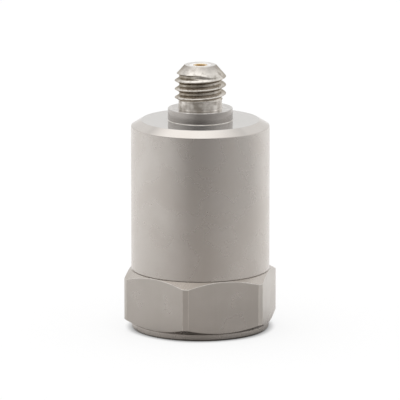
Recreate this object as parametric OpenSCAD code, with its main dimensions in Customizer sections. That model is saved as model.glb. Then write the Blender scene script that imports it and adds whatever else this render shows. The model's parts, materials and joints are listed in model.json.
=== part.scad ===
// Screw-mounted vibration sensor: a shear accelerometer with a hex base, a round
// welded housing and a threaded coaxial connector on top.
// Millimetres. +Z is up along the sensing axis, and the origin is the centre of the
// mounting face.

/* [Hex base] */
// Width across the spanner flats
hex_af = 13; // [12:0.5:16]
// Diameter that the hex corners are turned down to
hex_corner_d = 14.7; // [13.6:0.1:15]
// Height of the base, from the mounting face to the weld seam
base_h = 5.55; // [5:0.05:8]
// Diameter of the round foot that carries the mounting face
foot_d = 12.7; // [11.5:0.1:13]
// Height of the foot, up to the lower hex chamfer
foot_h = 0.6; // [0.3:0.1:1]
// Broken edge round the mounting face
foot_edge = 0.15; // [0.05:0.05:0.2]
// Slope of the chamfers on the hex and on the housing's top, from the horizontal
chamfer_angle = 30; // [20:1:40]
// Height of the spigot that locates the housing on the base
spigot_h = 0.8; // [0.5:0.1:1.5]

/* [Mounting hole] */
// Diameter of the tapped hole for the mounting stud, at the thread's minor diameter
mount_hole_d = 4.2; // [3.2:0.1:5]
// Depth of the tapped hole at full diameter
mount_hole_depth = 4; // [3:0.1:4.2]
// Width of the countersink round the hole's mouth
mount_mouth = 0.5; // [0.2:0.1:0.8]
// Point angle of the drill that made the hole
drill_point = 118; // [90:1:140]

/* [Housing] */
// Outside diameter of the housing
body_d = 12.8; // [12:0.1:14]
// Height of the housing, from the weld seam to its top face
housing_h = 14; // [13:0.1:20]
// Thickness of the housing's side wall
wall = 0.75; // [0.5:0.05:1]
// Thickness of the housing's top
cap_t = 1; // [0.7:0.05:1.5]
// Width of the chamfer round the top face
top_chamfer_w = 0.95; // [0.4:0.05:1.2]
// Broken edge of the housing at the weld seam
seam_edge = 0.08; // [0.04:0.01:0.15]
// Width of the hex's top face left outside the housing
seam_lip = 0.04; // [0.02:0.01:0.2]

/* [Connector] */
// Diameter of the collar that is welded to the housing's top
collar_d = 6; // [5:0.1:7]
// Height of the collar
collar_h = 1.1; // [0.6:0.05:2]
// Broken edge round the collar's top
collar_edge = 0.04; // [0.03:0.01:0.25]
// Leg of the weld fillet at the collar's foot
collar_weld = 0.04; // [0.02:0.01:0.15]
// Diameter of the plain neck below the thread
neck_d = 4; // [3.6:0.05:4.2]
// Height of the neck
neck_h = 0.8; // [0.3:0.05:1.5]
// Outside diameter of the coaxial thread
thread_d = 4.75; // [4.6:0.05:5]
// Height of the threaded length, from the neck to the nose
thread_h = 2.2; // [1.6:0.05:5]
// Height of the lead-in under the thread's first turn
thread_lead = 0.2; // [0.1:0.05:0.5]
// Height of the conical nose
nose_h = 1.05; // [0.6:0.05:1.4]
// Diameter of the flat tip
tip_d = 2.9; // [2.6:0.05:3.4]
// Broken edge of the bore's rim
rim_edge = 0.05; // [0.03:0.01:0.12]
// Diameter of the spigot that goes through the housing's top
stem_d = 4.6; // [4:0.1:5]
// Length of the spigot inside the housing
stem_reach = 0.3; // [0.1:0.1:0.8]
// Diameter of the connector's bore, which holds the insulator
bore_d = 2.1; // [1.8:0.05:2.3]
// Depth of the insulator and of the contact's head below the tip
tip_recess = 0.04; // [0.02:0.02:0.2]
// Diameter of the glass seal
seal_d = 2.7; // [2.4:0.1:3.2]
// Height of the glass seal
seal_h = 2; // [1:0.1:2.4]
// Diameter of the contact's socket barrel
contact_d = 1.35; // [1.1:0.05:1.4]
// Diameter of the hole that takes the plug's pin
socket_d = 0.55; // [0.45:0.05:0.7]
// Depth of that hole
socket_depth = 2.2; // [1.5:0.1:2.8]
// Diameter of the counterbore round the hole's mouth
mouth_d = 0.95; // [0.75:0.05:1]
// Depth of that counterbore, above the cone that guides the pin in
mouth_depth = 0.2; // [0.1:0.05:0.3]
// Diameter of the contact's tail, through the glass
tail_d = 0.6; // [0.4:0.05:0.8]
// Length of the tail below the glass
tail_reach = 1; // [0.6:0.1:1.5]

/* [Sensing element] */
// Distance from the axis to each flat of the post
post_flat_r = 1.9; // [1.5:0.1:2.2]
// Width of a piezo plate
plate_w = 4; // [3:0.1:4.4]
// Height of a piezo plate
plate_h = 4.4; // [3:0.1:5]
// Thickness of a piezo plate
plate_t = 0.8; // [0.5:0.05:1]
// Width of the post's flat left on each side of a plate
plate_land = 0.3; // [0.1:0.1:0.6]
// Width of a seismic mass
mass_w = 6; // [5:0.1:6.6]
// Height of a seismic mass
mass_h = 4.8; // [4.4:0.1:5.2]
// Space under the masses
mass_gap = 0.7; // [0.4:0.1:1]
// Wall of the preload ring
ring_wall = 0.5; // [0.3:0.05:0.7]
// Height of the preload ring
ring_h = 3; // [2:0.1:4]
// Space between the preload ring and the housing
ring_gap = 0.65; // [0.4:0.05:0.9]
// Height of the post above the masses
post_rise = 0.3; // [0.2:0.1:0.8]

/* [Circuit] */
// Thickness of the circuit board
board_t = 0.8; // [0.6:0.1:1.2]
// Space between the board and the insulating liner
board_gap = 0.5; // [0.3:0.1:0.8]
// Diameter of the insulating spacer under the board
spacer_d = 3.6; // [3:0.1:4]
// Height of that spacer
spacer_h = 1.2; // [0.8:0.1:1.6]
// Diameter of the screw that holds the board on the post
screw_d = 1.6; // [1.2:0.1:1.8]
// Length of the screw's thread in the post
screw_grip = 2.5; // [1.5:0.1:3]
// Diameter of the screw's head
screw_head_d = 2.8; // [2.4:0.1:3]
// Height of the screw's head
screw_head_h = 0.9; // [0.6:0.1:1.1]
// Width of the slot in the screw's head
screw_slot = 0.4; // [0.3:0.05:0.6]
// Distance from the axis to the middle of each chip
chip_circle_r = 3.1; // [3:0.1:3.3]
// Width of a transistor's body, along a radius of the board
transistor_w = 1.3; // [1:0.1:1.5]
// Length of a transistor's body, across that radius
transistor_l = 2.9; // [2.5:0.1:3]
// Height of a transistor's body
transistor_h = 1; // [0.8:0.1:1.2]
// Distance over a transistor's legs
transistor_span = 2.3; // [1.8:0.1:2.5]
// Width of a transistor's leg
leg_w = 0.4; // [0.3:0.05:0.5]
// Thickness of a transistor's leg
leg_t = 0.15; // [0.1:0.05:0.2]
// Distance from a transistor's middle to its outer legs
leg_pitch = 0.95; // [0.8:0.05:1.1]
// Width of a capacitor, along a radius of the board
capacitor_w = 0.8; // [0.5:0.1:1]
// Length of a capacitor, across that radius
capacitor_l = 1.6; // [1:0.1:1.8]
// Height of a capacitor
capacitor_h = 0.8; // [0.5:0.1:1.2]
// Width of a resistor, along a radius of the board
resistor_w = 0.5; // [0.3:0.05:0.8]
// Length of a resistor, across that radius
resistor_l = 1; // [0.6:0.1:1.6]
// Height of a resistor
resistor_h = 0.35; // [0.2:0.05:0.6]
// Diameter of the inner leads
lead_d = 0.4; // [0.25:0.05:0.5]
// Radius of the bends in the leads, at the middle of the lead
lead_bend_r = 0.6; // [0.4:0.05:0.7]
// Distance from the axis to the board's signal pad, on its underside
signal_pad_r = 3.2; // [2.6:0.1:3.3]
// Distance from the axis to the board's output pad, on its top
output_pad_r = 2.6; // [2.2:0.1:3]
// Wall of the insulating liner
liner_t = 0.15; // [0.1:0.05:0.25]
// Length of the liner below the board
liner_skirt = 1.2; // [0.6:0.1:2]

/* [Hidden] */
$fn = 96;
PLATES = 3;

// Cutters run past the faces that they open by this much
over = 1;
// Slip fit on the radius, where one piece is pushed into another before welding
slip = 0.02;
// Free thread left in the post beyond the end of the screw
screw_run_out = 0.4;

// Radii of the outer pieces
foot_r = foot_d / 2;
corner_r = hex_corner_d / 2;
body_r = body_d / 2;
seam_r = body_r + seam_lip;
cavity_r = body_r - wall;
slope = tan(chamfer_angle);

// Levels, from the mounting face up
floor_z = base_h + spigot_h;
face_z = base_h + housing_h;
ceiling_z = face_z - cap_t;
collar_z = face_z + collar_h;
thread_z = collar_z + neck_h;
nose_z = thread_z + thread_h;
tip_z = nose_z + nose_h;
stem_z = ceiling_z - stem_reach;
seal_z = stem_z + seal_h;
tail_z = stem_z - tail_reach;

// The sensing element, from the housing's wall inwards
ring_r = cavity_r - ring_gap;
mass_r = ring_r - ring_wall;
mass_flat_r = post_flat_r + plate_t;
post_corner_r = norm([post_flat_r, plate_w / 2 + plate_land]);
mass_z = floor_z + mass_gap;
mass_mid_z = mass_z + mass_h / 2;
post_z = mass_z + mass_h + post_rise;

// The circuit, stacked on the post
board_z = post_z + spacer_h;
board_top_z = board_z + board_t;
board_r = cavity_r - liner_t - board_gap;
screw_tip_z = post_z - screw_grip;

// Angles that the chips stand at
INPUT_ANGLE = 80;
OUTPUT_ANGLE = 280;
CAPACITOR_ANGLES = [160, 200];
RESISTOR_ANGLES = [130, 230, 330];
// The signal lead rises between two masses
SIGNAL_ANGLE = 180;

STEEL = "#b3ada6";
GOLD = "#d8a94a";

// A cylinder that starts at level z
module disc(d, z, h) {
    translate([0, 0, z]) cylinder(d = d, h = h);
}

// A tube that starts at level z
module tube(outer_r, inner_r, z, h) {
    translate([0, 0, z]) difference() {
        cylinder(r = outer_r, h = h);
        translate([0, 0, -over]) cylinder(r = inner_r, h = h + 2 * over);
    }
}

// A block that stands on level z, centred on the radius r at an angle round the axis
module block_at(angle, r, z, size) {
    rotate([0, 0, angle]) translate([r - size.x / 2, -size.y / 2, z]) cube(size);
}

// Hex base with its foot, spigot and three-sided post, turned and milled from one bar
module base() {
    color(STEEL) difference() {
        union() {
            hex_body();
            disc(2 * (cavity_r - slip), base_h - over, spigot_h + over);
            post();
        }
        mounting_hole();
        disc(screw_d, screw_tip_z - screw_run_out, screw_grip + screw_run_out + over);
    }
}

// A hex prism inside a turned profile, which cuts its corners and chamfers both ends
module hex_body() {
    lower_chamfer = (corner_r - foot_r) * slope;
    upper_chamfer = (corner_r - seam_r) * slope;
    intersection() {
        cylinder(d = hex_af / cos(30), h = base_h, $fn = 6);
        rotate_extrude() polygon([
            [0, 0],
            [foot_r - foot_edge, 0],
            [foot_r, foot_edge],
            [foot_r, foot_h],
            [corner_r, foot_h + lower_chamfer],
            [corner_r, base_h - upper_chamfer],
            [seam_r, base_h],
            [0, base_h]
        ]);
    }
}

// The post has one flat for each plate, and its corners are turned off
module post() {
    height = post_z - floor_z + over;
    translate([0, 0, floor_z - over]) intersection() {
        rotate([0, 0, 180 / PLATES])
            cylinder(r = post_flat_r / cos(180 / PLATES), h = height, $fn = PLATES);
        cylinder(r = post_corner_r, h = height);
    }
}

// Blind tapped hole with a drilled end and a countersunk mouth
module mounting_hole() {
    hole_r = mount_hole_d / 2;
    mouth_r = hole_r + mount_mouth;
    rotate_extrude() polygon([
        [0, -over],
        [mouth_r + over, -over],
        [hole_r, mount_mouth],
        [hole_r, mount_hole_depth],
        [0, mount_hole_depth + hole_r / tan(drill_point / 2)]
    ]);
}

// Turned cup, welded to the base at its open end
module housing() {
    color(STEEL) difference() {
        rotate_extrude() polygon([
            [0, base_h],
            [body_r - seam_edge, base_h],
            [body_r, base_h + seam_edge],
            [body_r, face_z - top_chamfer_w * slope],
            [body_r - top_chamfer_w, face_z],
            [0, face_z]
        ]);
        disc(2 * cavity_r, base_h - over, ceiling_z - base_h + over);
        disc(stem_d + 2 * slip, ceiling_z - over, cap_t + 2 * over);
    }
}

// Stem, collar, neck, threaded length and conical nose, turned as one piece, with the weld's
// fillet at the collar's foot
module connector_shell() {
    stem_r = stem_d / 2;
    collar_r = collar_d / 2;
    neck_r = neck_d / 2;
    thread_r = thread_d / 2;
    bore_r = bore_d / 2;
    color(STEEL) difference() {
        rotate_extrude() polygon([
            [0, stem_z],
            [stem_r, stem_z],
            [stem_r, face_z],
            [collar_r + collar_weld, face_z],
            [collar_r, face_z + collar_weld],
            [collar_r, collar_z - collar_edge],
            [collar_r - collar_edge, collar_z],
            [neck_r, collar_z],
            [neck_r, thread_z],
            [thread_r, thread_z + thread_lead],
            [thread_r, nose_z],
            [tip_d / 2, tip_z],
            [0, tip_z]
        ]);
        disc(bore_d, stem_z - over, tip_z - stem_z + 2 * over);
        disc(seal_d, stem_z - over, seal_h + over);
        translate([0, 0, tip_z - rim_edge])
            cylinder(r1 = bore_r, r2 = bore_r + over, h = over);
    }
}

// Sleeve that holds the contact in the connector's bore
module connector_insulator() {
    color("white") tube(bore_d / 2, contact_d / 2, seal_z, tip_z - tip_recess - seal_z);
}

// Glass bead that closes the connector round the contact's tail
module glass_seal() {
    color("#7f9a8c") tube(seal_d / 2, tail_d / 2, stem_z, seal_h);
}

// Gold-plated pin with a socket in its head
module centre_contact() {
    contact_r = contact_d / 2;
    tail_r = tail_d / 2;
    socket_r = socket_d / 2;
    mouth_r = mouth_d / 2;
    head_z = tip_z - tip_recess;
    mouth_z = head_z - mouth_depth;
    color(GOLD) rotate_extrude() polygon([
        [0, tail_z],
        [tail_r, tail_z],
        [tail_r, seal_z],
        [contact_r, seal_z],
        [contact_r, head_z],
        [mouth_r, head_z],
        [mouth_r, mouth_z],
        [socket_r, mouth_z - (mouth_r - socket_r)],
        [socket_r, head_z - socket_depth],
        [0, head_z - socket_depth]
    ]);
}

// Angle of the flat that carries plate number i
function plate_angle(i) = (i - 1) * 360 / PLATES;

// Piezoceramic plate, bonded between a flat of the post and its mass
module piezo_plate(i) {
    color("#c9c2a4") block_at(
        plate_angle(i), post_flat_r + plate_t / 2, mass_mid_z - plate_h / 2,
        [plate_t, plate_w, plate_h]);
}

// Tungsten mass, flat against its plate and round inside the ring
module seismic_mass(i) {
    color("#6d6e72") rotate([0, 0, plate_angle(i)]) intersection() {
        disc(2 * mass_r, mass_z, mass_h);
        translate([mass_flat_r, -mass_w / 2, mass_z - over])
            cube([mass_r, mass_w, mass_h + 2 * over]);
    }
}

// Ring shrunk round the masses, which presses them and the plates on the post
module preload_ring() {
    color("#8f9094") tube(ring_r, mass_r, mass_mid_z - ring_h / 2, ring_h);
}

// Insulating spacer that carries the board on the post
module board_spacer() {
    color("#e6dcc3") tube(spacer_d / 2, screw_d / 2 + slip, post_z, spacer_h);
}

// Round amplifier board
module circuit_board() {
    color("#2f6b45") tube(board_r, screw_d / 2 + slip, board_z, board_t);
}

// Slotted screw that clamps the board and grounds it to the post
module board_screw() {
    color("silver") difference() {
        union() {
            disc(screw_d, screw_tip_z, board_top_z - screw_tip_z + screw_head_h / 2);
            disc(screw_head_d, board_top_z, screw_head_h);
        }
        translate([-screw_head_d, -screw_slot / 2, board_top_z + screw_head_h / 2])
            cube([2 * screw_head_d, screw_slot, screw_head_h]);
    }
}

// Moulded transistor: one leg towards the axis and two away from it
module transistor(angle) {
    leg = [transistor_span / 2, leg_w, leg_t];
    color("#26282b") {
        block_at(angle, chip_circle_r, board_top_z, [transistor_w, transistor_l, transistor_h]);
        block_at(angle, chip_circle_r - leg.x / 2, board_top_z, leg);
        for (side = [-1, 1])
            rotate([0, 0, angle]) translate([0, side * leg_pitch, 0])
                block_at(0, chip_circle_r + leg.x / 2, board_top_z, leg);
    }
}

module chip_resistors() {
    size = [resistor_w, resistor_l, resistor_h];
    color("#1d1f22")
        for (angle = RESISTOR_ANGLES) block_at(angle, chip_circle_r, board_top_z, size);
}

module chip_capacitors() {
    size = [capacitor_w, capacitor_l, capacitor_h];
    color("#b39a6b")
        for (angle = CAPACITOR_ANGLES) block_at(angle, chip_circle_r, board_top_z, size);
}

// Lead that leaves the origin straight up, turns towards +X half-way up and ends straight
// up again, at the given offset and rise
module stepped_lead(offset, rise) {
    riser = rise / 2 - lead_bend_r;
    for (end = [0, 1]) translate([end * offset, 0, end * rise]) rotate([0, end * 180, 0]) {
        cylinder(d = lead_d, h = riser);
        translate([lead_bend_r, 0, riser]) rotate([90, 0, 180])
            rotate_extrude(angle = 90) translate([lead_bend_r, 0]) circle(d = lead_d);
    }
    translate([lead_bend_r, 0, rise / 2]) rotate([0, 90, 0])
        cylinder(d = lead_d, h = offset - 2 * lead_bend_r);
}

// Takes the charge from the preload ring to the underside of the board
module signal_lead() {
    start_r = ring_r - ring_wall / 2;
    start_z = mass_mid_z + ring_h / 2;
    color("#c8463c") rotate([0, 0, SIGNAL_ANGLE]) translate([start_r, 0, start_z])
        mirror([1, 0, 0]) stepped_lead(start_r - signal_pad_r, board_z - start_z);
}

// Takes the output from the board's pad to the contact's tail
module output_lead() {
    color("#e8e4da") translate([output_pad_r, 0, board_top_z])
        mirror([1, 0, 0]) stepped_lead(output_pad_r, tail_z - board_top_z);
}

// Thin sleeve that keeps the board's edge and leads off the housing
module insulating_liner() {
    start_z = board_z - liner_skirt;
    color("#c98f3e") tube(cavity_r, cavity_r - liner_t, start_z, ceiling_z - start_z);
}

base();
housing();
connector_shell();
connector_insulator();
glass_seal();
centre_contact();
for (i = [1:PLATES]) {
    piezo_plate(i);
    seismic_mass(i);
}
preload_ring();
board_spacer();
circuit_board();
board_screw();
transistor(INPUT_ANGLE);  // input_transistor
transistor(OUTPUT_ANGLE);  // output_transistor
chip_resistors();
chip_capacitors();
signal_lead();
output_lead();
insulating_liner();
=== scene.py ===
"""Looks of a screw-mounted vibration sensor in stainless steel: hex base, round welded
housing and threaded coaxial connector.

Sizes are in millimetres until a mesh or a node is made, and Blender's objects are in metres.
"""

import json
import math

import bmesh
import bpy
import numpy as np
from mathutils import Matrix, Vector


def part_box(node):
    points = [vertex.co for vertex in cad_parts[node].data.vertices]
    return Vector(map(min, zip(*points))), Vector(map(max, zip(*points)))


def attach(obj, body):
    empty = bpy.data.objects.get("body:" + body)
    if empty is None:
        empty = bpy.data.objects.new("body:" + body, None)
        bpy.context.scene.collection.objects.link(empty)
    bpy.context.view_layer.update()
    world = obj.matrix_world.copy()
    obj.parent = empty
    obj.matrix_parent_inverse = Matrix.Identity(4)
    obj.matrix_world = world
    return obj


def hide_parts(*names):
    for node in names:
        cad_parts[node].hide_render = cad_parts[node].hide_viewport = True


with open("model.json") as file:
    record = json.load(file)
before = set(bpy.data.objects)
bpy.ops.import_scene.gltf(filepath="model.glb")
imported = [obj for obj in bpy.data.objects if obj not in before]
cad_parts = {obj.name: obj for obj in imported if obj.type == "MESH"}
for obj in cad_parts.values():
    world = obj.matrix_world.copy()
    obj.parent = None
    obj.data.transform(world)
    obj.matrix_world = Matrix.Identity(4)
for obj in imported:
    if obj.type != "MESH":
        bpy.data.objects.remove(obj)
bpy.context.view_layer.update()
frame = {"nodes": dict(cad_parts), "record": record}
MM = 0.001


# Sizes taken from the frame

def box_mm(node_name):
    """Lowest and highest corner of a CAD node, in millimetres."""
    low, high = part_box(node_name)
    return low / MM, high / MM


def mount(name):
    """The record's mount of that name."""
    return next(m for m in frame["record"]["mounts"] if m["name"] == name)


def wall_span(entry):
    """Lowest and highest level of a round mount's wall."""
    middle = entry["pos_m"][2] / MM
    half = entry["dims"]["length_mm"] / 2
    return middle - half, middle + half


# Width of the weld fillet at the collar's foot, as in the solids
WELD = 0.04

HEX_CORNER_R = box_mm("base")[1].x
HEX_FLAT_R = box_mm("base")[1].y
POST_Z = box_mm("base")[1].z
BODY_R = box_mm("housing")[1].x
SEAM_Z = box_mm("housing")[0].z
FACE_Z = box_mm("housing")[1].z
CAVITY_R = box_mm("insulating_liner")[1].x
CEILING_Z = box_mm("insulating_liner")[1].z
COLLAR_R = box_mm("connector_shell")[1].x - WELD
STEM_Z = box_mm("connector_shell")[0].z
TIP_Z = box_mm("connector_shell")[1].z
BORE_R = box_mm("connector_insulator")[1].x
INSULATOR_TOP_Z = box_mm("connector_insulator")[1].z
SEAL_R = box_mm("glass_seal")[1].x
SEAL_TOP_Z = box_mm("glass_seal")[1].z
CONTACT_R = box_mm("centre_contact")[1].x
CONTACT_TOP_Z = box_mm("centre_contact")[1].z
TAIL_Z = box_mm("centre_contact")[0].z
POST_FLAT_R = box_mm("piezo_plate_1")[0].x
SCREW_TIP_Z = box_mm("board_screw")[0].z
HOLE_R = mount("mounting_hole")["dims"]["r_mm"]
HOLE_MOUTH_Z, HOLE_END_Z = wall_span(mount("mounting_hole"))
THREAD_R = mount("connector_thread")["dims"]["r_mm"]
THREAD_FOOT_Z, NOSE_Z = wall_span(mount("connector_thread"))
SOCKET_R = mount("contact_socket")["dims"]["r_mm"]
SOCKET_END_Z, SOCKET_RIM_Z = wall_span(mount("contact_socket"))

# Sizes that the frame doesn't give, as in the solids
FOOT_R = 6.35
FOOT_Z = 0.6
FOOT_EDGE = 0.15
CHAMFER_SLOPE = math.tan(math.radians(30))
SEAM_LIP = 0.04
SEAM_EDGE = 0.08
SPIGOT_H = 0.8
SLIP = 0.02
TOP_CHAMFER_W = 0.95
COLLAR_Z = FACE_Z + 1.1
COLLAR_EDGE = 0.04
STEM_R = 2.3
NECK_R = 2.0
NECK_PLAIN_H = 0.35
THREAD_LEAD = 0.2
TIP_R = 1.45
TIP_EDGE_W = 0.03
TIP_EDGE_H = 0.04
TAIL_R = 0.3
RIM_EDGE = 0.05
MOUTH_R = 0.475
MOUTH_DEPTH = 0.2
DRILL_POINT = math.radians(118)
POST_HALF_FLAT = 2.3
POST_CORNER_R = math.hypot(POST_FLAT_R, POST_HALF_FLAT)
SCREW_R = 0.8
SCREW_RUN_OUT = 0.4

# Threads: the coaxial connector's outside one, and the mounting hole's inside one. A crest has what
# rounding takes off its lower and its upper side, and a blend is the width of a rounding
FLANK_SLOPE = math.tan(math.radians(60))
CONNECTOR_PITCH = 0.794
CONNECTOR_ROOT_R = 1.95
CONNECTOR_CREST = (0.03, 0.14)
CONNECTOR_ROOT_BLEND = 0.1
CONNECTOR_CUT_BLEND = 0.015
NOSE_BLEND = 0.02
MOUNT_PITCH = 0.8
MOUNT_ROOT_R = 2.5
MOUNT_CREST = (0.05, 0.05)
MOUNT_ROOT_BLEND = 0.05
# Towards the tip the groove rises out of the metal, between these heights of its middle
GROOVE_RISES_Z = NOSE_Z + 0.11
GROOVE_ENDS_Z = NOSE_Z + 0.22
GROOVE_END_R = 2.25
# Height of the outside thread's crest at the right-hand edge of the photograph's view
CREST_Z = 22.023

# Steps round the axis, and rows along the threads
HOUSING_STEPS = 256
SHELL_STEPS = 240
SLEEVE_STEPS = 96
PIN_STEPS = 64
THREAD_ROWS = 280
HOLE_ROWS = 88

# The view of the photograph
VIEW_AZIMUTH = -19.2
VIEW_ELEVATION = 11.73
VIEW_DISTANCE = 500
VIEW_AIM_Z = 11.955
VIEW_AIM_RIGHT = -0.03
VIEW_WIDTH = 37.0
SENSOR_WIDTH = 36
VIEW_TURN = math.radians(VIEW_AZIMUTH)
VIEW_RIGHT = Vector((math.cos(VIEW_TURN), math.sin(VIEW_TURN), 0))
VIEW_FRONT = Vector((math.sin(VIEW_TURN), -math.cos(VIEW_TURN), 0))


# Meshes

# The most of a stretch that one fillet takes
FILLET_SHARE = 0.45
# Distance from a fillet's ends to the rows beside it, which keep the shading of the faces flat, and
# the most of a stretch that it takes
FLAT_FROM = 0.01
FLAT_SHARE = 0.04
# Points closer than this become one
MERGE_MM = 1e-5


def rounded(corners, steps=4):
    """Points and finishes of an outline. A corner is (radius, height, fillet, finish), where the
    finish is that of the stretch after it, and a fifth value is the finish of the fillet itself."""
    points, finishes = [], []
    for i, (r, z, fillet, finish, *edge) in enumerate(corners):
        here = Vector((r, z))
        if not fillet:
            points.append(here)
            finishes.append(finish)
            continue
        back = Vector(corners[i - 1][:2]) - here
        ahead = Vector(corners[(i + 1) % len(corners)][:2]) - here
        half = back.angle(ahead) / 2
        most = FILLET_SHARE * min(back.length, ahead.length)
        reach = min(fillet / math.tan(half), most)
        bend_r = reach * math.tan(half)
        middle = here + (back.normalized() + ahead.normalized()).normalized() * bend_r / math.sin(half)
        start = here + back.normalized() * reach - middle
        end = here + ahead.normalized() * reach - middle
        turn = start.angle_signed(end)
        before = reach + min(FLAT_FROM, FLAT_SHARE * back.length)
        points.append(here + back.normalized() * before)
        finishes.append(corners[i - 1][3])
        for k in range(steps + 1):
            angle = -turn * k / steps
            points.append(middle + Vector((
                start.x * math.cos(angle) - start.y * math.sin(angle),
                start.x * math.sin(angle) + start.y * math.cos(angle))))
            finishes.append(edge[0] if edge and k < steps else finish)
        after = reach + min(FLAT_FROM, FLAT_SHARE * ahead.length)
        points.append(here + ahead.normalized() * after)
        finishes.append(finish)
    return points, finishes


def polar_mesh(name, angles, outline_at, finishes, closed):
    """A turned piece: outline_at(angle) gives the points and finishes of its outline at each angle
    round the axis. A closed outline is a ring's section, and an open one ends on the axis."""
    vertices, faces, face_finishes = [], [], []
    for i, angle in enumerate(angles):
        points, marks = outline_at(angle)
        count = len(points)
        vertices += [(r * math.cos(angle) * MM, r * math.sin(angle) * MM, z * MM) for r, z in points]
        here = i * count
        there = (i + 1) % len(angles) * count
        for k in range(count if closed else count - 1):
            m = (k + 1) % count
            faces.append((here + k, there + k, there + m, here + m))
            face_finishes.append(marks[k])
    mesh = bpy.data.meshes.new(name)
    mesh.from_pydata(vertices, [], faces)
    for material in finishes:
        mesh.materials.append(material)
    mesh.polygons.foreach_set("material_index", face_finishes)
    work = bmesh.new()
    work.from_mesh(mesh)
    bmesh.ops.remove_doubles(work, verts=work.verts, dist=MERGE_MM * MM)
    bmesh.ops.recalc_face_normals(work, faces=work.faces)
    work.to_mesh(mesh)
    work.free()
    mesh.polygons.foreach_set("use_smooth", [True] * len(mesh.polygons))
    piece = bpy.data.objects.new(name, mesh)
    bpy.context.scene.collection.objects.link(piece)
    return piece


def even_angles(count):
    """That many angles round the axis."""
    return [2 * math.pi * i / count for i in range(count)]


def ramp(value, start, end):
    """0 at the start, 1 at the end and straight between them."""
    return min(max((value - start) / (end - start), 0), 1)


def smooth_min(a, b, blend):
    """The smaller of two values, with their crossing rounded over the given width."""
    share = min(max(0.5 + 0.5 * (b - a) / blend, 0), 1)
    return b + (a - b) * share - blend * share * (1 - share)


def thread_drop(angle, z, crest_z, pitch, crest, depth, root_blend):
    """How far a right-hand thread lies below its crest at an angle and a height, where crest is
    what rounding takes off the crest's point, on its lower and on its upper side."""
    turns = (z - crest_z) / pitch - angle / (2 * math.pi)
    off_crest = (turns - round(turns)) * pitch
    round_off = crest[off_crest > 0]
    flank = math.hypot(off_crest * FLANK_SLOPE, round_off) - round_off
    return max(smooth_min(flank, depth, root_blend), 0)


def add_piece(piece, node_name):
    """Let a piece stand for a CAD node, on the one body that there is."""
    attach(piece, "root")
    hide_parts(node_name)
    return piece


# Materials

def linear(hex_colour):
    """An sRGB hex colour as linear red, green, blue and alpha."""
    values = [int(hex_colour[i:i + 2], 16) / 255 for i in (1, 3, 5)]
    return (*[v / 12.92 if v <= 0.04045 else ((v + 0.055) / 1.055) ** 2.4 for v in values], 1)


def node(tree, kind, inputs=None, **settings):
    """Add a node with its settings. An input is a value, or another node's output to link. Map
    Range's inputs 1 to 4 are the limits that it maps from and to, and 6 and 7 are Mix's colours."""
    made = tree.nodes.new(kind)
    for key, value in settings.items():
        setattr(made, key, value)
    for key, value in (inputs or {}).items():
        if isinstance(value, bpy.types.NodeSocket):
            tree.links.new(value, made.inputs[key])
        else:
            made.inputs[key].default_value = value
    return made


def new_material(name, **values):
    """An empty node material with its shader, the shader's fixed values and its output."""
    material = bpy.data.materials.new(name)
    material.use_nodes = True
    tree = material.node_tree
    tree.nodes.clear()
    shader = node(tree, "ShaderNodeBsdfPrincipled")
    for key, value in values.items():
        shader.inputs[key.replace("_", " ").title()].default_value = value
    node(tree, "ShaderNodeOutputMaterial", {"Surface": shader.outputs["BSDF"]})
    return material, tree, shader


# Parts of a noise between which a steel's patches go from dull to clean, and how much rougher and
# smoother than its roughness they are there
PATCH_NOISE = (0.35, 0.65)
DULL_SHARE = 1.12
CLEAN_SHARE = 0.9
# Turn of the anisotropy that lays the streaks round the axis
QUARTER_TURN = 0.25


def steel(
        name, colour, dull_colour, roughness, streak_mm, bump, patch_mm,
        patches_from=0.0, anisotropy=0.0, metallic=1.0):
    """Stainless steel as the tool left it: streaks of streak_mm along x, y and z, and soft patches
    of patch_mm where the surface is a little duller. Their pattern starts patches_from millimetres
    up its noise."""
    material, tree, shader = new_material(
        name, metallic=metallic, anisotropic=anisotropy, anisotropic_rotation=QUARTER_TURN)
    place = node(tree, "ShaderNodeTexCoord").outputs["Object"]
    streaks_at = node(tree, "ShaderNodeMapping", {
        "Vector": place, "Scale": [1 / (s * MM) for s in streak_mm]})
    streaks = node(tree, "ShaderNodeTexNoise", {
        "Vector": streaks_at.outputs[0], "Scale": 1, "Detail": 2})
    patches_at = node(tree, "ShaderNodeMapping", {
        "Vector": place, "Location": (0, 0, patches_from * MM)})
    patches = node(tree, "ShaderNodeTexNoise", {
        "Vector": patches_at.outputs[0], "Scale": 1 / (patch_mm * MM), "Detail": 4})
    clean = node(tree, "ShaderNodeMapRange", {
        0: patches.outputs["Fac"], 1: PATCH_NOISE[0], 2: PATCH_NOISE[1]}).outputs[0]
    tone = node(tree, "ShaderNodeMix", {
        0: clean, 6: linear(dull_colour), 7: linear(colour)}, data_type="RGBA")
    dull = node(tree, "ShaderNodeMapRange", {
        0: clean, 3: roughness * DULL_SHARE, 4: roughness * CLEAN_SHARE})
    marks = node(tree, "ShaderNodeBump", {
        "Height": streaks.outputs["Fac"], "Strength": bump, "Distance": min(streak_mm) * MM})
    tree.links.new(tone.outputs[2], shader.inputs["Base Color"])
    tree.links.new(dull.outputs[0], shader.inputs["Roughness"])
    tree.links.new(marks.outputs[0], shader.inputs["Normal"])
    if anisotropy:
        tangent = node(tree, "ShaderNodeTangent", direction_type="RADIAL", axis="Z")
        tree.links.new(tangent.outputs[0], shader.inputs["Tangent"])
    return material


# Painted shade, brown, in the thread's roots: radii between which it fades out, lengths over which it
# ends above the neck and below the tip, size and noise of its blots, and the least that they keep
ROOT_SHADE_FULL_R = 2.02
ROOT_SHADE_END_R = 2.26
ROOT_SHADE_FOOT_H = 0.25
ROOT_SHADE_TOP_H = 0.4
BLOT_MM = 0.7
BLOT_NOISE = (0.3, 0.6)
BLOT_LEAST = 0.55
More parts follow.
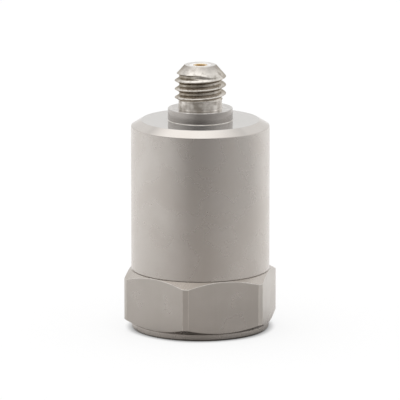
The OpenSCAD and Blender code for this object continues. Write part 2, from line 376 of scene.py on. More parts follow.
# The side with most of the painted shade, how far to that side it starts to grow and is full, and what
# is left of it on the other side
SHADED_SIDE = -VIEW_RIGHT
SIDE_SHADE_GROWS = -1.2
SIDE_SHADE_FULL = 1
SIDE_SHADE_LEAST = 0.5
ROOT_SHADE_ROUGHER = 1.3
# Dull spots of the metal, the heights between which the tip turns dull, and the tool's marks
SPOT_MM = 0.45
SPOT_NOISE = (0.5, 0.68)
RUBBED_FROM_Z = NOSE_Z + 0.45
RUBBED_TO_Z = TIP_Z - 0.1
MARK_MM = (0.6, 0.6, 0.12)
MARK_DEPTH = 0.1
MARK_STRENGTH = 0.05
# What the thread reflects at its edges, where its film of oil takes some of the light
EDGE_TINT = "#cbc6bf"


def root_shaded_thread(name, colour, dull_colour, tip_colour, root_shade_colour, roughness):
    """Stainless thread cut with one point: bright flanks with dull spots and fine marks round the axis,
    a tip that plugs have rubbed dull, and brown painted shade in the roots, heavier on one side."""
    material, tree, shader = new_material(name, metallic=1, specular_tint=linear(EDGE_TINT))
    place = node(tree, "ShaderNodeTexCoord").outputs["Object"]
    across = node(tree, "ShaderNodeVectorMath", {0: place, 1: (1, 1, 0)}, operation="MULTIPLY")
    radius = node(tree, "ShaderNodeVectorMath", {0: across.outputs[0]}, operation="LENGTH")
    height = node(tree, "ShaderNodeSeparateXYZ", {0: place}).outputs["Z"]
    root = node(tree, "ShaderNodeMapRange", {
        0: radius.outputs["Value"], 1: ROOT_SHADE_FULL_R * MM, 2: ROOT_SHADE_END_R * MM, 3: 1, 4: 0})
    above_neck = node(tree, "ShaderNodeMapRange", {
        0: height, 1: THREAD_FOOT_Z * MM, 2: (THREAD_FOOT_Z + ROOT_SHADE_FOOT_H) * MM})
    below_tip = node(tree, "ShaderNodeMapRange", {
        0: height, 1: NOSE_Z * MM, 2: (NOSE_Z + ROOT_SHADE_TOP_H) * MM, 3: 1, 4: 0})
    blots = node(tree, "ShaderNodeTexNoise", {
        "Vector": place, "Scale": 1 / (BLOT_MM * MM), "Detail": 3})
    patchy = node(tree, "ShaderNodeMapRange", {
        0: blots.outputs["Fac"], 1: BLOT_NOISE[0], 2: BLOT_NOISE[1], 3: BLOT_LEAST, 4: 1})
    side = node(tree, "ShaderNodeVectorMath", {0: place, 1: SHADED_SIDE}, operation="DOT_PRODUCT")
    side_shade = node(tree, "ShaderNodeMapRange", {
        0: side.outputs["Value"], 1: SIDE_SHADE_GROWS * MM, 2: SIDE_SHADE_FULL * MM, 3: SIDE_SHADE_LEAST, 4: 1})
    # Painted shade in the roots, in blots, heavier on one side, ending above the neck and below the tip
    root_shade = root.outputs[0]
    for share in (patchy, side_shade, above_neck, below_tip):
        root_shade = node(tree, "ShaderNodeMath", {
            0: root_shade, 1: share.outputs[0]}, operation="MULTIPLY").outputs[0]
    spots = node(tree, "ShaderNodeTexNoise", {
        "Vector": place, "Scale": 1 / (SPOT_MM * MM), "Detail": 4})
    spotted = node(tree, "ShaderNodeMapRange", {
        0: spots.outputs["Fac"], 1: SPOT_NOISE[0], 2: SPOT_NOISE[1]})
    metal = node(tree, "ShaderNodeMix", {
        0: spotted.outputs[0], 6: linear(colour), 7: linear(dull_colour)}, data_type="RGBA")
    near_tip = node(tree, "ShaderNodeMapRange", {
        0: height, 1: RUBBED_FROM_Z * MM, 2: RUBBED_TO_Z * MM})
    rubs = node(tree, "ShaderNodeMath", {
        0: near_tip.outputs[0], 1: patchy.outputs[0]}, operation="MULTIPLY")
    rubbed = node(tree, "ShaderNodeMix", {
        0: rubs.outputs[0], 6: metal.outputs[2], 7: linear(tip_colour)}, data_type="RGBA")
    tone = node(tree, "ShaderNodeMix", {
        0: root_shade, 6: rubbed.outputs[2], 7: linear(root_shade_colour)}, data_type="RGBA")
    dull = node(tree, "ShaderNodeMapRange", {0: root_shade, 3: roughness, 4: roughness * ROOT_SHADE_ROUGHER})
    marks_at = node(tree, "ShaderNodeMapping", {
        "Vector": place, "Scale": [1 / (s * MM) for s in MARK_MM]})
    marks = node(tree, "ShaderNodeTexNoise", {"Vector": marks_at.outputs[0], "Scale": 1, "Detail": 2})
    bump = node(tree, "ShaderNodeBump", {
        "Height": marks.outputs["Fac"], "Strength": MARK_STRENGTH, "Distance": MARK_DEPTH * MM})
    tree.links.new(tone.outputs[2], shader.inputs["Base Color"])
    tree.links.new(dull.outputs[0], shader.inputs["Roughness"])
    tree.links.new(bump.outputs[0], shader.inputs["Normal"])
    return material


def speckled(name, colour, dark_colour, roughness, grain_mm, bump=0.0, metallic=0.0):
    """A finish of fine grains, between a light and a dark colour."""
    material, tree, shader = new_material(name, metallic=metallic, roughness=roughness)
    place = node(tree, "ShaderNodeTexCoord").outputs["Object"]
    grain = node(tree, "ShaderNodeTexNoise", {
        "Vector": place, "Scale": 1 / (grain_mm * MM), "Detail": 3})
    tone = node(tree, "ShaderNodeMix", {
        0: grain.outputs["Fac"], 6: linear(dark_colour), 7: linear(colour)}, data_type="RGBA")
    tree.links.new(tone.outputs[2], shader.inputs["Base Color"])
    if bump:
        rise = node(tree, "ShaderNodeBump", {
            "Height": grain.outputs["Fac"], "Strength": bump, "Distance": grain_mm * MM})
        tree.links.new(rise.outputs[0], shader.inputs["Normal"])
    return material


# Turned with a fine feed, so highlights spread up and down more than round it
TURNED_STEEL = steel(
    "fine-turned stainless", "#cdc9c5", "#c9c4bf", 0.27, (6, 6, 0.12), 0.006, 3.0, anisotropy=0.5)
# Faced and polished: it mirrors what stands on it, and fine scratches scatter a little light
FACED_STEEL = steel(
    "polished stainless face", "#c9c7c4", "#c6c4c1", 0.08, (3, 3, 0.15), 0.005, 3.0, metallic=0.85)
# The chamfer beside it, turned bright and a little warmer
CHAMFER_STEEL = steel(
    "bright-turned stainless chamfer", "#ccc7c2", "#c9c3bd", 0.12, (3, 3, 0.15), 0.005, 3.0)
# Cold-drawn bar: satin, with faint lines along it and small dull patches
DRAWN_STEEL = steel("drawn stainless bar", "#c7c3bf", "#c3bfba", 0.29, (0.15, 0.15, 5), 0.04, 2.2)
# Its chamfers: the housing's turned finish, in a darker tone that is painted shade
SHADED_CHAMFER_STEEL = steel(
    "turned stainless chamfer", "#bfb8b1", "#bab3ab", 0.27, (6, 6, 0.12), 0.006, 3.0)
# Edges rubbed by spanners and handling, rougher than the faces, and paler than them as a painted
# highlight
RUBBED_HIGHLIGHT_STEEL = steel("rubbed stainless edge, painted highlight", "#dad6d1", "#d0cbc5", 0.5, (0.3, 0.3, 0.3), 0.05, 0.8)
# The laser weld round the collar's foot, a bright rippled line
WELD_STEEL = steel("laser-welded stainless", "#e0dcd7", "#c4bfb8", 0.3, (0.25, 0.25, 1), 0.05, 0.6)
# The collar, turned bright and a little darker than the housing
COLLAR_STEEL = steel(
    "bright-turned stainless collar", "#b6b2ae", "#aca7a3", 0.22, (4, 4, 0.1), 0.01, 1.5)
# Its top face and the chamfer at its edge, where plugs bear: scuffed round the axis, in light and dull
# patches; the pale tone on the chamfer is a painted highlight
SEAT_STEEL = steel("scuffed stainless seat, painted edge highlight", "#d2cfcb", "#b2aeaa", 0.14, (0.5, 0.5, 0.15), 0.02, 0.45)
# The neck under the thread, turned with a coarser tool: uneven, with dull blots, partly real and partly
# a painted dark reflection; their noise is shifted so that a dark blot lies towards the front
NECK_STEEL = steel(
    "rough-turned stainless", "#f4f0eb", "#b4ada4", 0.55, (0.9, 0.9, 0.25), 0.1, 0.7, patches_from=164.9)
# The tip's narrow face, which plugs have rubbed bright
TIP_STEEL = steel("rubbed stainless tip", "#dfdcd8", "#d6d3ce", 0.2, (1, 1, 0.15), 0.02, 0.8)
# Its last colour is the brown of the painted shade in its roots
THREAD_STEEL = root_shaded_thread("cut stainless thread", "#dad5ce", "#b0aaa2", "#b0aaa4", "#91887a", 0.19)
# Tap and drill leave it duller than the outside
TAPPED_STEEL = steel("tapped stainless hole", "#b9b2aa", "#a59d93", 0.36, (0.5, 0.5, 0.1), 0.1, 0.6)
# Thin plating over turned bronze: warm and glossy
GOLD_PLATING = speckled("gold plating", "#e9cfa2", "#d8b985", 0.25, 0.3, metallic=1)
# Inside the pin's hole the gold is darker: painted shade
HOLE_SHADE_PLATING = speckled("gold plating, painted shade in the hole", "#cfb68d", "#bb9f72", 0.35, 0.3, metallic=1)
# Turned from white rod, a little see-through at the edges, so it has no deep shade of its own
WHITE_FLUOROPOLYMER = speckled("white fluoropolymer", "#efedec", "#e5e3e0", 0.42, 0.25, 0.03)
# Sealing glass: dark green and fire-polished
SEAL_GLASS = speckled("sealing glass", "#7fa191", "#5f8474", 0.08, 0.4)
# Fired and lapped ceramic, dull yellow with a fine grain
PIEZO_CERAMIC = speckled("lapped piezo ceramic", "#c8be9f", "#b3a783", 0.55, 0.12, 0.05)
# Sintered heavy metal: dark grey, with the grain of the powder
SINTERED_TUNGSTEN = speckled("sintered tungsten alloy", "#77777a", "#626265", 0.38, 0.08, 0.05, 1)
# Ground spring steel, cooler and darker than the stainless
GROUND_STEEL = steel("ground ring steel", "#a3a4a6", "#929395", 0.28, (3, 3, 0.1), 0.05, 1.5)
# Unfilled plastic, cut from sheet
PALE_PLASTIC = speckled("cut acetal", "#e4d9bf", "#d9ccae", 0.5, 0.3, 0.02)
# Glass-cloth board under solder mask: glossy green over a woven ground
MASKED_LAMINATE = speckled("masked glass laminate", "#2f6f45", "#255a38", 0.3, 0.35, 0.06)
BRIGHT_SCREW = steel("bright stainless screw", "#cfcdca", "#c2bfbb", 0.2, (1, 1, 0.1), 0.04, 0.8)
# Moulded epoxy, matt from its mould
CHIP_MOULDING = speckled("moulded epoxy", "#2b2c2f", "#222326", 0.6, 0.06, 0.1)
RESISTOR_FILM = speckled("glazed resistor", "#26282b", "#1a1b1e", 0.3, 0.1)
CAPACITOR_CERAMIC = speckled("layered ceramic", "#b7a076", "#a58d63", 0.4, 0.08, 0.03)
RED_SLEEVE = speckled("red wire sleeve", "#c83f38", "#b5332d", 0.35, 0.2, 0.02)
PALE_SLEEVE = speckled("pale wire sleeve", "#e8e3da", "#dcd6cb", 0.35, 0.2, 0.02)
# Polyimide film: amber and glossy
AMBER_FILM = speckled("polyimide film", "#cb8d40", "#bb7c31", 0.2, 0.6)

# Finishes of the pieces inside, which keep the shapes of their solids
INSIDE = {
    SEAL_GLASS: ["glass_seal"],
    PIEZO_CERAMIC: ["piezo_plate_1", "piezo_plate_2", "piezo_plate_3"],
    SINTERED_TUNGSTEN: ["seismic_mass_1", "seismic_mass_2", "seismic_mass_3"],
    GROUND_STEEL: ["preload_ring"],
    PALE_PLASTIC: ["board_spacer"],
    MASKED_LAMINATE: ["circuit_board"],
    BRIGHT_SCREW: ["board_screw"],
    CHIP_MOULDING: ["input_transistor", "output_transistor"],
    RESISTOR_FILM: ["chip_resistors"],
    CAPACITOR_CERAMIC: ["chip_capacitors"],
    RED_SLEEVE: ["signal_lead"],
    PALE_SLEEVE: ["output_lead"],
    AMBER_FILM: ["insulating_liner"],
}


def finish_inside():
    """Give the solids inside their finishes."""
    for material, names in INSIDE.items():
        for name in names:
            for slot in frame["nodes"][name].material_slots:
                slot.material = material


# Pieces

# Angle from a flat's middle to its edge, half the span of the close steps there, the share of it that is
# rubbed and given a paler tone as a painted highlight, and the widths that round the edges of the hex
# and of the post
HEX_EDGE = math.acos(HEX_FLAT_R / HEX_CORNER_R)
HEX_EDGE_SPAN = math.radians(0.4)
RUBBED_HIGHLIGHT_SHARE = 0.9
HEX_BLEND = 0.025
POST_BLEND = 0.05


def off_flat(angle, sides, first_flat):
    """Angle from the middle of a polygon's nearest flat."""
    step = 2 * math.pi / sides
    return (angle - first_flat + step / 2) % step - step / 2


def polygon_r(off, flat_r, corner_r, blend):
    """Radius of a polygon with turned corners, at an angle from the middle of a flat."""
    return smooth_min(flat_r / math.cos(off), corner_r, blend)


def hex_angles():
    """Angles round the base, close together where a flat meets a turned corner."""
    near, far = HEX_EDGE - HEX_EDGE_SPAN, HEX_EDGE + HEX_EDGE_SPAN
    half_side = [
        *np.linspace(0, near, 12, endpoint=False),
        *np.linspace(near, far, 8, endpoint=False),
        *np.linspace(far, math.pi / 6, 3)]
    side = sorted({*half_side, *[math.pi / 3 - a for a in half_side if a]})
    return [math.pi / 3 * k + math.pi / 6 + a for k in range(6) for a in side]


BASE_FINISHES = [DRAWN_STEEL, RUBBED_HIGHLIGHT_STEEL, TURNED_STEEL, TAPPED_STEEL, SHADED_CHAMFER_STEEL]
DRAWN, RUBBED_HIGHLIGHT, TURNED, TAPPED, SHADED_CHAMFER = range(5)


def hole_outline(angle):
    """The mounting hole from its drilled point down its thread to its mouth."""
    corners = [(0, HOLE_END_Z + HOLE_R / math.tan(DRILL_POINT / 2), 0, TAPPED)]
    deep = MOUNT_ROOT_R - HOLE_R
    for row in range(HOLE_ROWS):
        z = HOLE_END_Z * (1 - row / HOLE_ROWS)
        mouth_r = HOLE_R + max(0, HOLE_MOUTH_Z - z)
        cut = deep - thread_drop(angle, z, 0, MOUNT_PITCH, MOUNT_CREST, deep, MOUNT_ROOT_BLEND)
        cut_r = HOLE_R + cut * ramp(z, HOLE_END_Z, HOLE_END_Z - MOUNT_PITCH)
        corners.append((max(mouth_r, cut_r), z, 0, TAPPED))
    return [*corners, (HOLE_R + HOLE_MOUTH_Z, 0, 0.02, TURNED)]


def base_outline(angle):
    """Section of the base from the mounting hole, round the outside, to the screw hole."""
    off = off_flat(angle, 6, math.pi / 6)
    hex_r = polygon_r(off, HEX_FLAT_R, HEX_CORNER_R, HEX_BLEND)
    # Columns at the hex's turned corners take the rubbed finish, whose paler tone is a painted highlight
    side = RUBBED_HIGHLIGHT if abs(abs(off) - HEX_EDGE) < RUBBED_HIGHLIGHT_SHARE * HEX_EDGE_SPAN else DRAWN
    post_r = polygon_r(off_flat(angle, 3, 0), POST_FLAT_R, POST_CORNER_R, POST_BLEND)
    seam_r = BODY_R + SEAM_LIP
    spigot_r = CAVITY_R - SLIP
    floor_z = SEAM_Z + SPIGOT_H
    low_z = FOOT_Z + (hex_r - FOOT_R) * CHAMFER_SLOPE
    high_z = SEAM_Z - (hex_r - seam_r) * CHAMFER_SLOPE
    screw_end_z = SCREW_TIP_Z - SCREW_RUN_OUT
    return rounded([
        *hole_outline(angle),
        (FOOT_R - FOOT_EDGE, 0, 0.04, TURNED),
        (FOOT_R, FOOT_EDGE, 0.04, TURNED),
        (FOOT_R, FOOT_Z, 0.03, TURNED),
        # The roundings at the lower and upper edges of the flats take the rubbed finish too, a painted
        # highlight along them
        (hex_r, low_z, 0.05, side, RUBBED_HIGHLIGHT),
        # The stretch up to the seam, the upper chamfer, takes the darker chamfer finish, which is
        # painted shade
        (hex_r, high_z, 0.07, SHADED_CHAMFER, RUBBED_HIGHLIGHT),
        (seam_r, SEAM_Z, 0.02, TURNED),
        (spigot_r, SEAM_Z, 0, TURNED),
        (spigot_r, floor_z, 0.05, TURNED),
        (post_r, floor_z, 0, TURNED),
        (post_r, POST_Z, 0.05, TURNED),
        (SCREW_R, POST_Z, 0, TAPPED),
        (SCREW_R, screw_end_z, 0, TAPPED),
        (0, screw_end_z, 0, TAPPED)])


def make_base():
    """Hex base with its foot, tapped hole, spigot and three-sided post."""
    piece = polar_mesh("hex_base", hex_angles(), base_outline, BASE_FINISHES, closed=False)
    return add_piece(piece, "base")


def housing_outline(angle):
    """Section of the cup's wall and top."""
    side, face, chamfer = range(3)
    chamfer_z = FACE_Z - TOP_CHAMFER_W * CHAMFER_SLOPE
    return rounded([
        (BODY_R - SEAM_EDGE, SEAM_Z, 0.02, side),
        (BODY_R, SEAM_Z + SEAM_EDGE, 0.05, side),
        (BODY_R, chamfer_z, 0.12, chamfer),
        (BODY_R - TOP_CHAMFER_W, FACE_Z, 0.06, face),
        (STEM_R + SLIP, FACE_Z, 0.05, side),
        (STEM_R + SLIP, CEILING_Z, 0, side),
        (CAVITY_R, CEILING_Z, 0.2, side),
        (CAVITY_R, SEAM_Z, 0, side)])


def make_housing():
    """Turned cup with a chamfered top."""
    finishes = [TURNED_STEEL, FACED_STEEL, CHAMFER_STEEL]
    angles = even_angles(HOUSING_STEPS)
    piece = polar_mesh("round_housing", angles, housing_outline, finishes, closed=True)
    return add_piece(piece, "housing")


SHELL_FINISHES = [
    TURNED_STEEL, THREAD_STEEL, SEAT_STEEL, WELD_STEEL, NECK_STEEL, COLLAR_STEEL, TIP_STEEL]
PLAIN, THREAD, SEAT, WELDED, NECK, COLLAR, TIP = range(7)


def shell_radius(angle, z):
    """Radius of the connector above its collar: a turned blank that the thread is cut into."""
    lead_z = THREAD_FOOT_Z - THREAD_LEAD
    blank_r = NECK_R + (THREAD_R - NECK_R) * ramp(z, lead_z, THREAD_FOOT_Z)
    nose_r = TIP_R + (THREAD_R - TIP_R) * (TIP_Z - z) / (TIP_Z - NOSE_Z)
    turned_r = smooth_min(blank_r, nose_r, NOSE_BLEND)
    crest_z = CREST_Z - VIEW_TURN / (2 * math.pi) * CONNECTOR_PITCH
    root_r = NECK_R + (CONNECTOR_ROOT_R - NECK_R) * ramp(z, lead_z, THREAD_FOOT_Z)
    turn = angle / (2 * math.pi)
    groove = math.floor((z - crest_z) / CONNECTOR_PITCH - turn) + 0.5 + turn
    groove_z = crest_z + groove * CONNECTOR_PITCH
    root_r += (GROOVE_END_R - root_r) * ramp(groove_z, GROOVE_RISES_Z, GROOVE_ENDS_Z)
    deep = THREAD_R - root_r
    drop = thread_drop(
        angle, z, crest_z, CONNECTOR_PITCH, CONNECTOR_CREST, deep, CONNECTOR_ROOT_BLEND)
    return smooth_min(turned_r, THREAD_R - drop, CONNECTOR_CUT_BLEND)


def shell_outline(angle):
    """Section of the connector, from the stem's foot up the outside and down the bore."""
    start_z = COLLAR_Z + NECK_PLAIN_H
    end_z = TIP_Z - TIP_EDGE_H
    rows = []
    for row in range(THREAD_ROWS + 1):
        z = start_z + (end_z - start_z) * row / THREAD_ROWS
        finish = THREAD if z > THREAD_FOOT_Z - THREAD_LEAD else NECK
        rows.append((shell_radius(angle, z), z, 0, finish))
    return rounded([
        (SEAL_R, STEM_Z, 0, PLAIN),
        (STEM_R, STEM_Z, 0, PLAIN),
        (STEM_R, FACE_Z, 0, PLAIN),
        (COLLAR_R + WELD, FACE_Z, 0.004, WELDED),
        (COLLAR_R, FACE_Z + WELD, 0.03, COLLAR, WELDED),
        # The seat's pale finish starts at the collar's edge, where it is a painted highlight on the
        # chamfer
        (COLLAR_R, COLLAR_Z - COLLAR_EDGE, 0.02, SEAT),
        (COLLAR_R - COLLAR_EDGE, COLLAR_Z, 0.02, SEAT),
        (NECK_R, COLLAR_Z, 0.06, NECK),
        *rows,
        (TIP_R - TIP_EDGE_W, TIP_Z, 0.02, TIP),
        (BORE_R + RIM_EDGE, TIP_Z, 0.02, TIP),
        (BORE_R, TIP_Z - RIM_EDGE, 0, PLAIN),
        (BORE_R, SEAL_TOP_Z, 0, PLAIN),
        (SEAL_R, SEAL_TOP_Z, 0, PLAIN)])


def make_shell():
    """Connector shell with its collar, neck, thread and nose."""
    angles = even_angles(SHELL_STEPS)
    piece = polar_mesh("connector_body", angles, shell_outline, SHELL_FINISHES, closed=True)
    return add_piece(piece, "connector_shell")


def insulator_outline(angle):
    """Section of the sleeve."""
    return rounded([
        (CONTACT_R, SEAL_TOP_Z, 0, 0),
        (BORE_R, SEAL_TOP_Z, 0, 0),
        (BORE_R, INSULATOR_TOP_Z, 0.03, 0),
        (CONTACT_R, INSULATOR_TOP_Z, 0.03, 0)])


def make_insulator():
    """White sleeve in the connector's bore."""
    angles = even_angles(SLEEVE_STEPS)
    finishes = [WHITE_FLUOROPOLYMER]
    piece = polar_mesh("insulating_sleeve", angles, insulator_outline, finishes, closed=True)
    return add_piece(piece, "connector_insulator")


def contact_outline(angle):
    """Section of the pin from its tail to the end of its socket."""
    # The hole's finish is the darker gold, painted shade
    plated, hole = range(2)
    return rounded([
        (0, TAIL_Z, 0, plated),
        (TAIL_R, TAIL_Z, 0.05, plated),
        (TAIL_R, SEAL_TOP_Z, 0, plated),
        (CONTACT_R, SEAL_TOP_Z, 0, plated),
        (CONTACT_R, CONTACT_TOP_Z, 0.05, plated),
        (MOUTH_R, CONTACT_TOP_Z, 0.06, hole, plated),
        (MOUTH_R, CONTACT_TOP_Z - MOUTH_DEPTH, 0.01, hole),
        (SOCKET_R, SOCKET_RIM_Z, 0.02, hole),
        (SOCKET_R, SOCKET_END_Z, 0, hole),
        (0, SOCKET_END_Z, 0, hole)])


def make_contact():
    """Gold-plated pin with a socket in its head."""
    angles = even_angles(PIN_STEPS)
    finishes = [GOLD_PLATING, HOLE_SHADE_PLATING]
    piece = polar_mesh("contact_pin", angles, contact_outline, finishes, closed=False)
    return add_piece(piece, "centre_contact")


# Studio

# Grey cards in front of the object: on the table close to it, further out and beyond that, and on the
# wall round the table. Each has its tone, the tone round it, the bearing of its middle in degrees to
# the right of the front of the photograph's view, and the turns from there where it starts to fade
# and where it ends
NEAR_CARD = ("#bab4af", "#f4f2f0", -2, 15, 150)
FAR_CARD = ("#959391", "#f4f2f0", 35, 50, 90)
BEYOND_CARD = ("#989593", "#f4f3f2", -2, 10, 110)
WALL_CARD = ("#737170", "#f6f5f4", -3, 12, 105)
# Distances up to which the near card reaches, where the far one is reached and left, and where the
# one beyond it starts
NEAR_MM = 40
FAR_MM = 85
BEYOND_FROM_MM = 98
BEYOND_MM = 102
# Reach of the shade close round the object's foot, its depth, the bearing where it is deepest, and
# the cosine of the turn from there where it ends
SHADE_FROM_MM = 6.5
SHADE_TO_MM = 10
SHADE_DEPTH = 0.65
SHADE_BEARING = math.radians(30)
SHADE_ENDS = -0.5
# Patches of painted shade on the card: millimetres to the right and to the front, radii between which
# each fades out, and its depth
SHADE_PATCHES = [(10.5, 12.5, 2, 7, 0.28), (17, -2, 4, 9, 0.28)]
# The wall round the table, and the soft box with its place, radii and light, in metres
SWEEP_R = 0.7
SWEEP_H = 0.4
SOFT_BOX_Z = 0.5
SOFT_BOX_RIGHT = -0.12
SOFT_BOX_FRONT = -0.05
SOFT_BOX_CORE_R = 0.15
SOFT_BOX_R = 0.5
SOFT_BOX_MIDDLE = 1.5
SOFT_BOX_EDGE = 0.9
STUDIO_STEPS = 64
WHITE = (1, 1, 1, 1)
FILL_LIGHT = 1.0
# The floor: half its width in metres, its paper, the share of plain white that it shows, the reach of
# the contact shadow, and how far floor and card lie under the foot
FLOOR_HALF = 2.0
PAPER = (0.95, 0.95, 0.95, 1)
FLOOR_WHITE = 0.76
CONTACT_MM = 0.75
FLOOR_DROP = 0.005
CARD_DROP = 0.002
# Distances in metres between which the camera sees
CLIP_START = 0.01
CLIP_END = 20


def aim(thing, target):
    """Turn a lamp or camera towards a point."""
    thing.rotation_euler = (Vector(target) - thing.location).to_track_quat("-Z", "Y").to_euler()


def make_camera():
    """Camera at the photograph's angle and framing."""
    data = bpy.data.cameras.new("camera")
    data.sensor_width = SENSOR_WIDTH
    data.lens = SENSOR_WIDTH * VIEW_DISTANCE / VIEW_WIDTH
    data.clip_start = CLIP_START
    data.clip_end = CLIP_END
    camera = bpy.data.objects.new("camera", data)
    bpy.context.scene.collection.objects.link(camera)
    rise = math.radians(VIEW_ELEVATION)
    back = VIEW_FRONT * math.cos(rise) + Vector((0, 0, math.sin(rise)))
    target = (VIEW_RIGHT * VIEW_AIM_RIGHT + Vector((0, 0, VIEW_AIM_Z))) * MM
    camera.location = target + back * VIEW_DISTANCE * MM
    aim(camera, target)
    bpy.context.scene.camera = camera


def stage_mesh(name, vertices, faces, materials):
    """A mesh of the studio."""
    mesh = bpy.data.meshes.new(name)
    mesh.from_pydata(vertices, [], faces)
    for material in materials:
        mesh.materials.append(material)
    thing = bpy.data.objects.new(name, mesh)
    bpy.context.scene.collection.objects.link(thing)
    return thing


def studio_material(name):
    """An empty node material and its tree."""
    material = bpy.data.materials.new(name)
    material.use_nodes = True
    material.node_tree.nodes.clear()
    return material, material.node_tree


def background_rays(tree):
    """1 for the rays that see the background: the camera's, and those that metal and glass reflect
    or pass on."""
    path = node(tree, "ShaderNodeLightPath").outputs
    first = node(tree, "ShaderNodeMath", {
        0: path["Is Camera Ray"], 1: path["Is Glossy Ray"]}, operation="MAXIMUM")
    return node(tree, "ShaderNodeMath", {
        0: first.outputs[0], 1: path["Is Transmission Ray"]}, operation="MAXIMUM").outputs[0]


def make_floor():
    """White paper that keeps the object's shadow."""
    material, tree = studio_material("white paper")
    lit = node(tree, "ShaderNodeBsdfDiffuse", {"Color": PAPER})
    contact = node(tree, "ShaderNodeAmbientOcclusion", {"Distance": CONTACT_MM * MM})
    white = node(tree, "ShaderNodeEmission", {"Color": WHITE, "Strength": contact.outputs["AO"]})
    share = node(tree, "ShaderNodeMath", {
        0: background_rays(tree), 1: FLOOR_WHITE}, operation="MULTIPLY")
    seen = node(tree, "ShaderNodeMixShader", {
        0: share.outputs[0], 1: lit.outputs[0], 2: white.outputs[0]})
    node(tree, "ShaderNodeOutputMaterial", {"Surface": seen.outputs[0]})
    half = FLOOR_HALF
    corners = [(-half, -half, 0), (half, -half, 0), (half, half, 0), (-half, half, 0)]
    floor = stage_mesh("floor", corners, [(0, 1, 2, 3)], [material])
    floor.location.z = -FLOOR_DROP * MM


def card_tone(tree, bearing, card):
    """Colour by bearing: a card's tone at its middle, and the tone round it where it has faded."""
    tone, surround, middle, fades_from, ends_at = card
    turn = node(tree, "ShaderNodeMath", {0: bearing, 1: math.radians(middle)}, operation="SUBTRACT")
    wrapped = node(tree, "ShaderNodeMath", {
        0: turn.outputs[0], 1: math.pi, 2: -math.pi}, operation="WRAP")
    off = node(tree, "ShaderNodeMath", {0: wrapped.outputs[0]}, operation="ABSOLUTE")
    faded = node(tree, "ShaderNodeMapRange", {
        0: off.outputs[0], 1: math.radians(fades_from), 2: math.radians(ends_at)})
    return node(tree, "ShaderNodeMix", {
        0: faded.outputs[0], 6: linear(tone), 7: linear(surround)}, data_type="RGBA").outputs[2]


def bearing_of(tree, place):
    """A point's bearing from the front of the photograph's view."""
    right = node(tree, "ShaderNodeVectorMath", {0: place, 1: VIEW_RIGHT}, operation="DOT_PRODUCT")
    front = node(tree, "ShaderNodeVectorMath", {0: place, 1: VIEW_FRONT}, operation="DOT_PRODUCT")
    return node(tree, "ShaderNodeMath", {
        0: right.outputs["Value"], 1: front.outputs["Value"]}, operation="ARCTAN2").outputs[0]


def table_colour(tree):
    """The table's colour by a point's bearing and its distance from the axis."""
    place = node(tree, "ShaderNodeTexCoord").outputs["Object"]
    bearing = bearing_of(tree, place)
    distance = node(tree, "ShaderNodeVectorMath", {0: place}, operation="LENGTH").outputs["Value"]
    far = node(tree, "ShaderNodeMapRange", {0: distance, 1: NEAR_MM * MM, 2: FAR_MM * MM})
    inner = node(tree, "ShaderNodeMix", {
        0: far.outputs[0], 6: card_tone(tree, bearing, NEAR_CARD),
        7: card_tone(tree, bearing, FAR_CARD)}, data_type="RGBA")
    beyond = node(tree, "ShaderNodeMapRange", {0: distance, 1: BEYOND_FROM_MM * MM, 2: BEYOND_MM * MM})
    tone = node(tree, "ShaderNodeMix", {
        0: beyond.outputs[0], 6: inner.outputs[2],
        7: card_tone(tree, bearing, BEYOND_CARD)}, data_type="RGBA")
    turn = node(tree, "ShaderNodeMath", {0: bearing, 1: SHADE_BEARING}, operation="SUBTRACT")
    towards = node(tree, "ShaderNodeMath", {0: turn.outputs[0]}, operation="COSINE")
    deepest = node(tree, "ShaderNodeMapRange", {
        0: towards.outputs[0], 1: SHADE_ENDS, 2: 1, 3: 1, 4: 1 - SHADE_DEPTH})
    shade = node(tree, "ShaderNodeMapRange", {
        0: distance, 1: SHADE_FROM_MM * MM, 2: SHADE_TO_MM * MM, 3: deepest.outputs[0], 4: 1})
    level = shade.outputs[0]
    for to_right, to_front, full_mm, end_mm, depth in SHADE_PATCHES:
        middle = (VIEW_RIGHT * to_right + VIEW_FRONT * to_front) * MM
        off = node(tree, "ShaderNodeVectorMath", {0: place, 1: middle}, operation="DISTANCE")
        patch = node(tree, "ShaderNodeMapRange", {
            0: off.outputs["Value"], 1: full_mm * MM, 2: end_mm * MM, 3: 1 - depth, 4: 1})
        level = node(tree, "ShaderNodeMath", {
            0: level, 1: patch.outputs[0]}, operation="MULTIPLY").outputs[0]
    return node(tree, "ShaderNodeVectorMath", {
        0: tone.outputs[2], "Scale": level}, operation="SCALE").outputs[0]


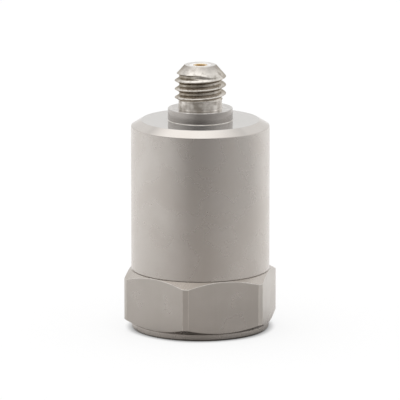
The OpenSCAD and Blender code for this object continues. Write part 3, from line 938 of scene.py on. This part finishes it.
def make_sweep():
    """Grey card on the table and standing round it, which only reflections see. It gives the steel
    its darker front, as flags beside a product do."""
    table, tree = studio_material("grey card on the table")
    lit = node(tree, "ShaderNodeBsdfDiffuse", {"Color": table_colour(tree)})
    node(tree, "ShaderNodeOutputMaterial", {"Surface": lit.outputs[0]})
    wall, tree = studio_material("grey card round the table")
    place = node(tree, "ShaderNodeTexCoord").outputs["Object"]
    tone = card_tone(tree, bearing_of(tree, place), WALL_CARD)
    glow = node(tree, "ShaderNodeEmission", {"Color": tone, "Strength": 1})
    height = node(tree, "ShaderNodeSeparateXYZ", {0: place})
    fade = node(tree, "ShaderNodeMapRange", {0: height.outputs["Z"], 1: SWEEP_H / 2, 2: SWEEP_H})
    clear = node(tree, "ShaderNodeBsdfTransparent")
    soft = node(tree, "ShaderNodeMixShader", {
        0: fade.outputs[0], 1: glow.outputs[0], 2: clear.outputs[0]})
    node(tree, "ShaderNodeOutputMaterial", {"Surface": soft.outputs[0]})
    around = [(SWEEP_R * math.cos(a), SWEEP_R * math.sin(a)) for a in even_angles(STUDIO_STEPS)]
    count = len(around)
    vertices = [(x, y, 0) for x, y in around] + [(x, y, SWEEP_H) for x, y in around]
    faces = [tuple(range(count))]
    faces += [(i, (i + 1) % count, (i + 1) % count + count, i + count) for i in range(count)]
    sweep = stage_mesh("grey sweep", vertices, faces, [table, wall])
    sweep.data.polygons.foreach_set("material_index", [0] + [1] * count)
    sweep.location.z = -CARD_DROP * MM
    sweep.visible_camera = False
    sweep.visible_diffuse = False
    sweep.visible_shadow = False


def make_world():
    """White surroundings, which light the object at a plain level."""
    world = bpy.data.worlds.new("studio")
    bpy.context.scene.world = world
    world.use_nodes = True
    tree = world.node_tree
    tree.nodes.clear()
    white = node(tree, "ShaderNodeBackground", {"Color": WHITE, "Strength": FILL_LIGHT})
    node(tree, "ShaderNodeOutputWorld", {"Surface": white.outputs[0]})


def make_soft_box():
    """One round soft box above the object, whose light fades towards its edge."""
    material, tree = studio_material("soft box")
    place = node(tree, "ShaderNodeTexCoord").outputs["Object"]
    off = node(tree, "ShaderNodeVectorMath", {0: place}, operation="LENGTH")
    level = node(tree, "ShaderNodeMapRange", {
        0: off.outputs["Value"], 1: SOFT_BOX_CORE_R, 2: SOFT_BOX_R,
        3: SOFT_BOX_MIDDLE, 4: SOFT_BOX_EDGE}, interpolation_type="SMOOTHSTEP")
    glow = node(tree, "ShaderNodeEmission", {"Color": WHITE, "Strength": level.outputs[0]})
    node(tree, "ShaderNodeOutputMaterial", {"Surface": glow.outputs[0]})
    around = [
        (SOFT_BOX_R * math.cos(a), -SOFT_BOX_R * math.sin(a), 0) for a in even_angles(STUDIO_STEPS)]
    box = stage_mesh("soft box", around, [tuple(range(len(around)))], [material])
    across = VIEW_RIGHT * SOFT_BOX_RIGHT + VIEW_FRONT * SOFT_BOX_FRONT
    box.location = across + Vector((0, 0, SOFT_BOX_Z))
    box.visible_camera = False


make_base()
make_housing()
make_shell()
make_insulator()
make_contact()
finish_inside()
make_camera()
make_floor()
make_sweep()
make_world()
make_soft_box()
bpy.context.scene.view_settings.view_transform = "Standard"
